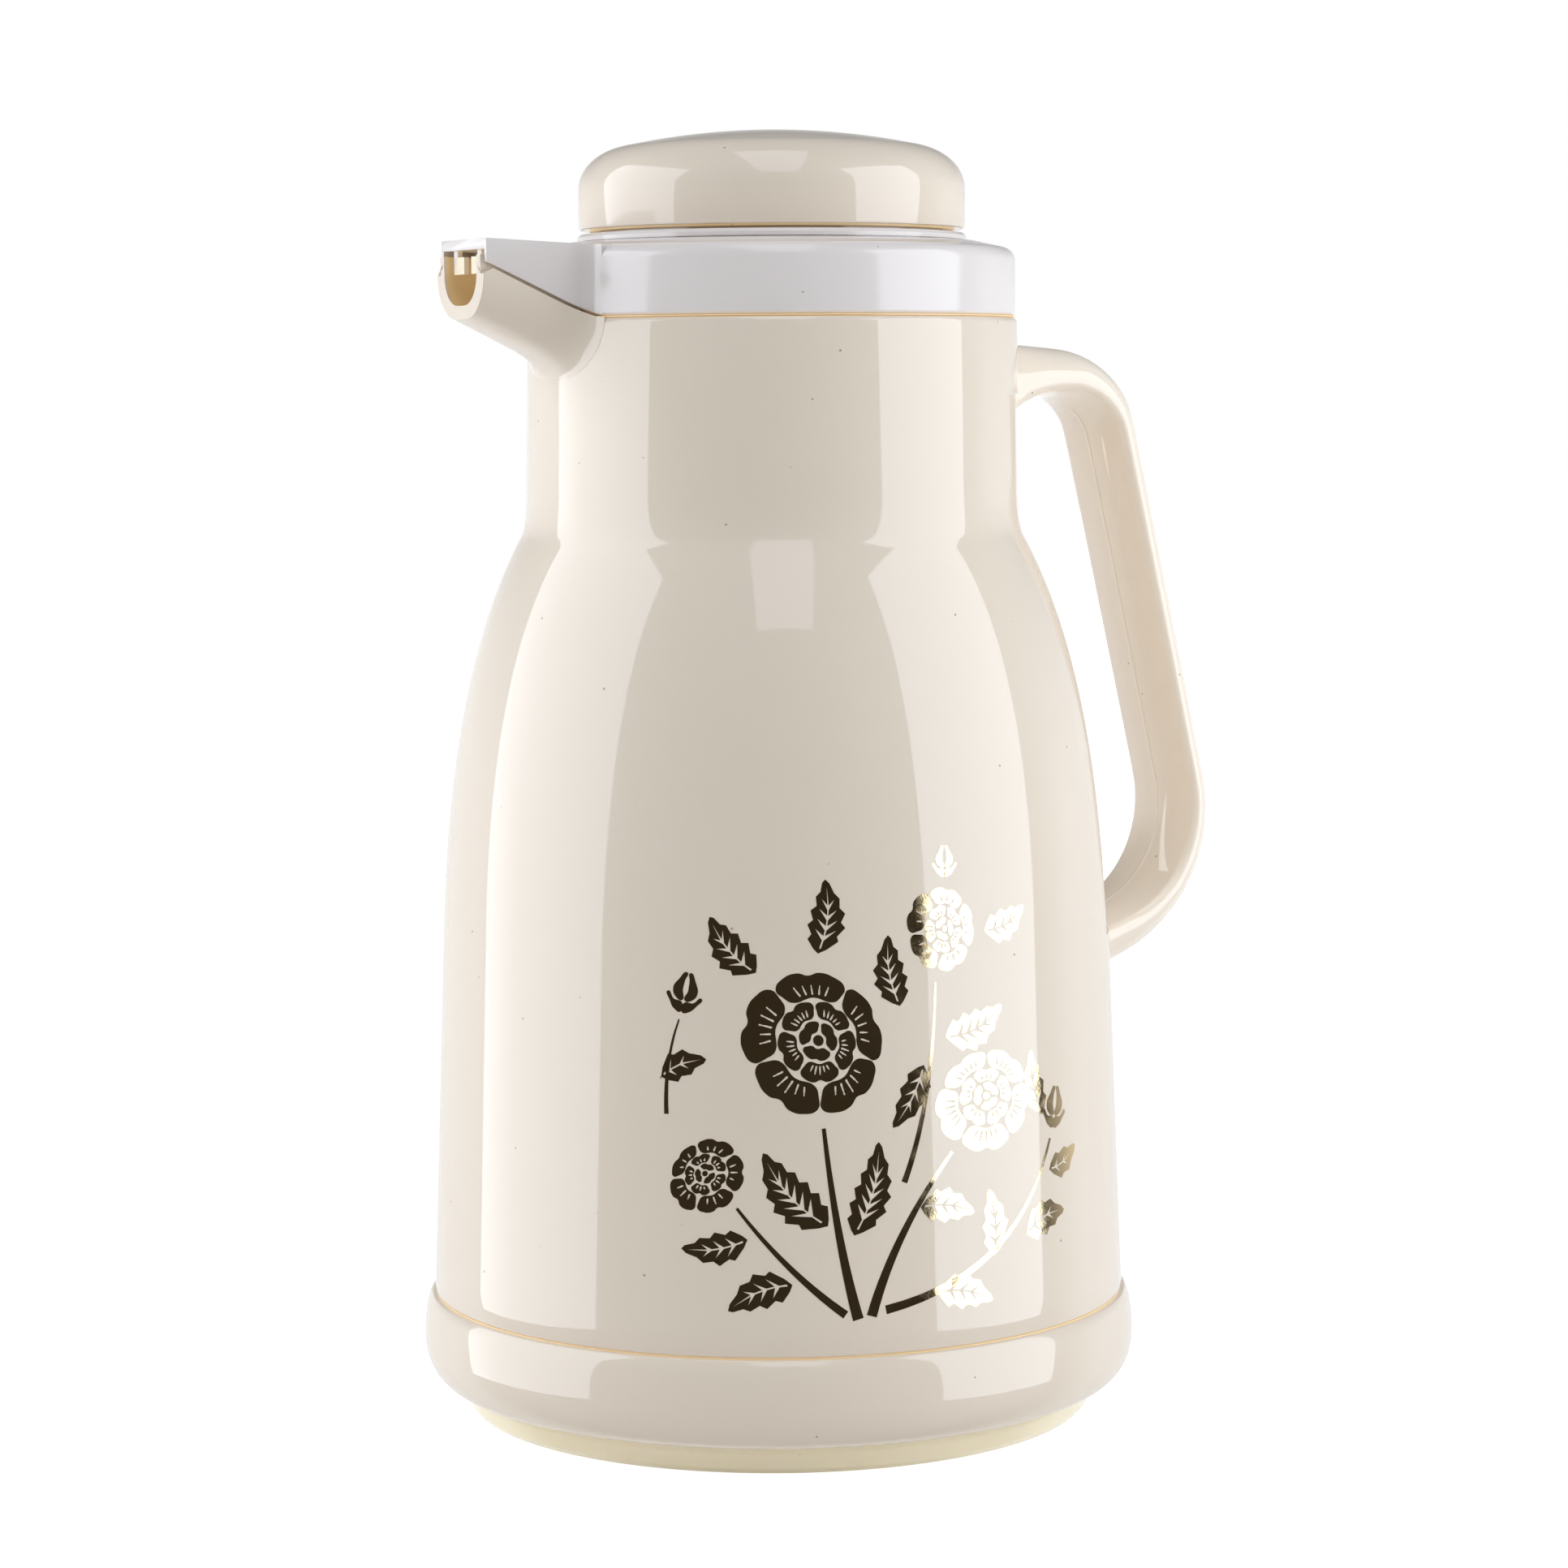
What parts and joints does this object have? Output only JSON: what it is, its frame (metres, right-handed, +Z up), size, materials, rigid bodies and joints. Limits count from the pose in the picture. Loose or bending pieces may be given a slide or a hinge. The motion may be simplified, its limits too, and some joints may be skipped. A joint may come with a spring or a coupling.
{
  "type": "insulated pouring jug",
  "caption": "Ivory insulated pouring jug with a side handle, a covered pouring trough, a white collar and a domed screw stopper over a glass liner.",
  "frame": {"origin": "centre of the rim that the jug stands on, on the jug's axis", "axes": "+Z up along the jug's axis, +X towards the handle, -X towards the spout"},
  "size_m": [0.1727, 0.1446, 0.2569],
  "materials": {
    "ivory_pp": "gloss",
    "white_pp": "gloss",
    "base_pp": "satin",
    "silvered_glass": "gloss",
    "silicone": "satin",
    "pad": "matt",
    "foam": "matt"
  },
  "bodies": {
    "jug": {"outer_casing": "ivory_pp", "handle": "ivory_pp", "spout_trough": "ivory_pp", "collar": "white_pp", "neck_ring": "white_pp", "neck_gasket": "silicone", "liner_inner_bottle": "silvered_glass", "liner_outer_bottle": "silvered_glass", "liner_spacers": "pad", "liner_cushion": "pad", "base_ring": "ivory_pp", "base_cap": "base_pp"},
    "stopper_seals": {"stopper_seal": "silicone", "stopper_o_ring": "silicone"},
    "stopper": {"stopper_cap": "ivory_pp", "stopper_body": "ivory_pp", "stopper_foam": "foam", "stopper_base": "ivory_pp"}
  },
  "joints": [
    {"name": "stopper_rise", "type": "slide", "parent": "jug", "child": "stopper_seals", "axis": [0, 0, 1], "range_m": [0, 0.045]},
    {"name": "stopper_turn", "type": "hinge", "parent": "stopper_seals", "child": "stopper", "pos_m": [0, 0, 0.236], "axis": [0, 0, 1], "range_deg": [0, 1350]}
  ],
  "couplings": [
    {"joint": "stopper_rise", "follows": "stopper_turn", "m_per_rad": 0.0019099}
  ]
}
